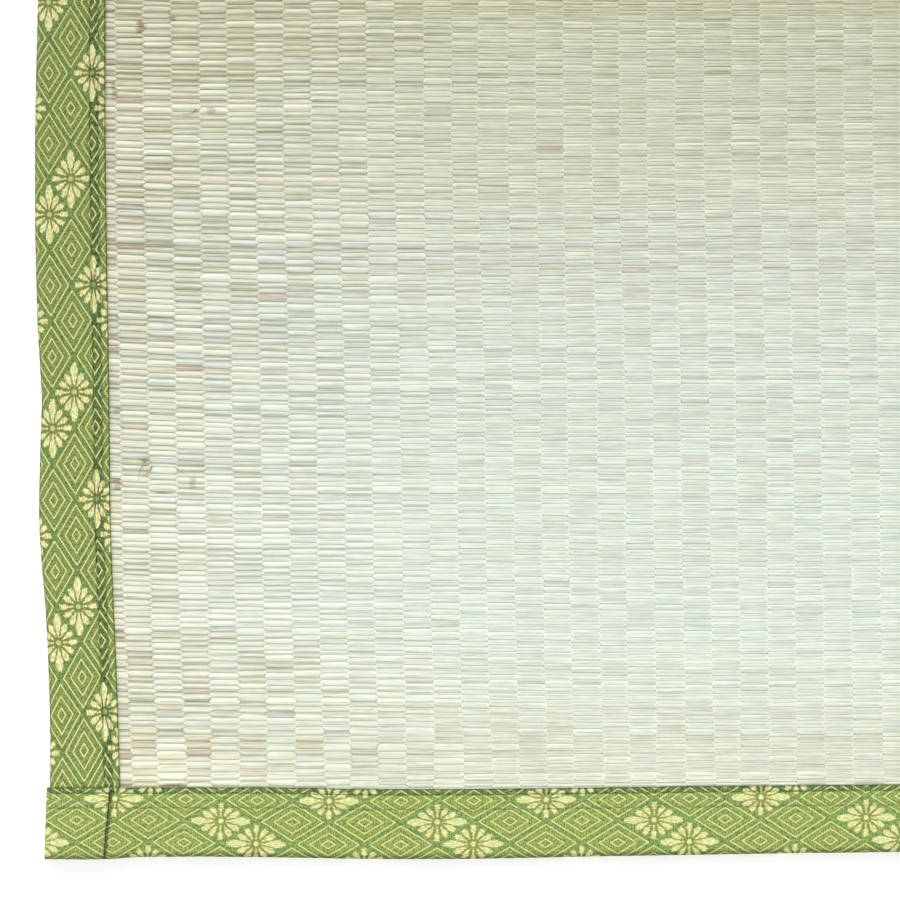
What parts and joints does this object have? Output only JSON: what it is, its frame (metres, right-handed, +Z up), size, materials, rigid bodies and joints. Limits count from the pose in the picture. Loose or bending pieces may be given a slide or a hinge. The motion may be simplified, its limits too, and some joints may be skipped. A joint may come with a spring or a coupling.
{
  "type": "rush mat",
  "caption": "Flat woven rush floor mat to sit or lie on, its floats in lengthwise columns, bound along every edge with folded brocade tape in a diamond and flower pattern.",
  "frame": {"origin": "centre of the mat's footprint, on the floor that it lies on", "axes": "+Z up from the floor, +Y along the mat's length and its warps, from the front end to the back end, +X to the right, along the rushes"},
  "size_m": [0.8726, 1.7414, 0.0076],
  "materials": {
    "rush": "dried rush, cream white to pale yellow-green and grey-green from one rush to the next, with a soft natural sheen",
    "brocade_tape": "woven brocade in green and olive with pale yellow-green lines and cream yellow flowers, slightly lustrous"
  },
  "bodies": {
    "root": {"rush_panel": "rush", "left_binding": "brocade_tape", "right_binding": "brocade_tape", "front_binding": "brocade_tape", "back_binding": "brocade_tape"}
  },
  "joints": []
}
